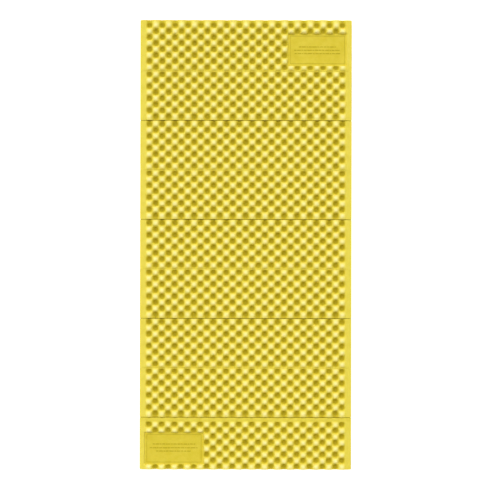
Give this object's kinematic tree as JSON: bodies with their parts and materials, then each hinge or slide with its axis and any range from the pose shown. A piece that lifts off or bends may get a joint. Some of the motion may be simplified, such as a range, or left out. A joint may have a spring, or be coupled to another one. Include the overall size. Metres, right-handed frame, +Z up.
{
  "type": "foam sleeping pad",
  "caption": "Rectangular closed-cell foam mat with an egg-crate surface, hinged in equal panels so that it folds up like an accordion.",
  "frame": {"origin": "centre of the footprint, on the floor under the lowest bumps of the opened pad", "axes": "+X across the pad's width, +Y along its length towards the head end, +Z up"},
  "size_m": [0.51, 1.083, 0.02],
  "materials": {
    "foam": "matte closed-cell polyethylene foam, yellow",
    "foam_hinge": "thin pressed skin of the same foam, matte yellow"
  },
  "bodies": {
    "panel_1": {"panel_1": "foam", "living_hinge_1": "foam_hinge"},
    "panel_2": {"panel_2": "foam", "living_hinge_2": "foam_hinge"},
    "panel_3": {"panel_3": "foam", "living_hinge_3": "foam_hinge"},
    "panel_4": {"panel_4": "foam", "living_hinge_4": "foam_hinge"},
    "panel_5": {"panel_5": "foam", "living_hinge_5": "foam_hinge"},
    "panel_6": {"panel_6": "foam", "living_hinge_6": "foam_hinge"},
    "panel_7": {"panel_7": "foam", "living_hinge_7": "foam_hinge"},
    "panel_8": {"panel_8": "foam", "living_hinge_8": "foam_hinge"},
    "panel_9": {"panel_9": "foam"}
  },
  "joints": [
    {"name": "fold_1", "type": "hinge", "parent": "panel_1", "child": "panel_2", "pos_m": [0, 0.4183, 0.01575], "axis": [-1, 0, 0], "range_deg": [0, 179], "deforming": ["living_hinge_1"]},
    {"name": "fold_2", "type": "hinge", "parent": "panel_2", "child": "panel_3", "pos_m": [0, 0.2991, 0.00425], "axis": [-1, 0, 0], "range_deg": [-179, 0], "deforming": ["living_hinge_2"]},
    {"name": "fold_3", "type": "hinge", "parent": "panel_3", "child": "panel_4", "pos_m": [0, 0.1799, 0.01575], "axis": [-1, 0, 0], "range_deg": [0, 179], "deforming": ["living_hinge_3"]},
    {"name": "fold_4", "type": "hinge", "parent": "panel_4", "child": "panel_5", "pos_m": [0, 0.0607, 0.00425], "axis": [-1, 0, 0], "range_deg": [-179, 0], "deforming": ["living_hinge_4"]},
    {"name": "fold_5", "type": "hinge", "parent": "panel_5", "child": "panel_6", "pos_m": [0, -0.0585, 0.01575], "axis": [-1, 0, 0], "range_deg": [0, 179], "deforming": ["living_hinge_5"]},
    {"name": "fold_6", "type": "hinge", "parent": "panel_6", "child": "panel_7", "pos_m": [0, -0.1777, 0.00425], "axis": [-1, 0, 0], "range_deg": [-179, 0], "deforming": ["living_hinge_6"]},
    {"name": "fold_7", "type": "hinge", "parent": "panel_7", "child": "panel_8", "pos_m": [0, -0.2969, 0.01575], "axis": [-1, 0, 0], "range_deg": [0, 179], "deforming": ["living_hinge_7"]},
    {"name": "fold_8", "type": "hinge", "parent": "panel_8", "child": "panel_9", "pos_m": [0, -0.4161, 0.00425], "axis": [-1, 0, 0], "range_deg": [-179, 0], "deforming": ["living_hinge_8"]}
  ],
  "couplings": [
    {"joint": "fold_2", "follows": "fold_1", "ratio": -1},
    {"joint": "fold_4", "follows": "fold_3", "ratio": -1},
    {"joint": "fold_6", "follows": "fold_5", "ratio": -1},
    {"joint": "fold_8", "follows": "fold_7", "ratio": -1}
  ]
}
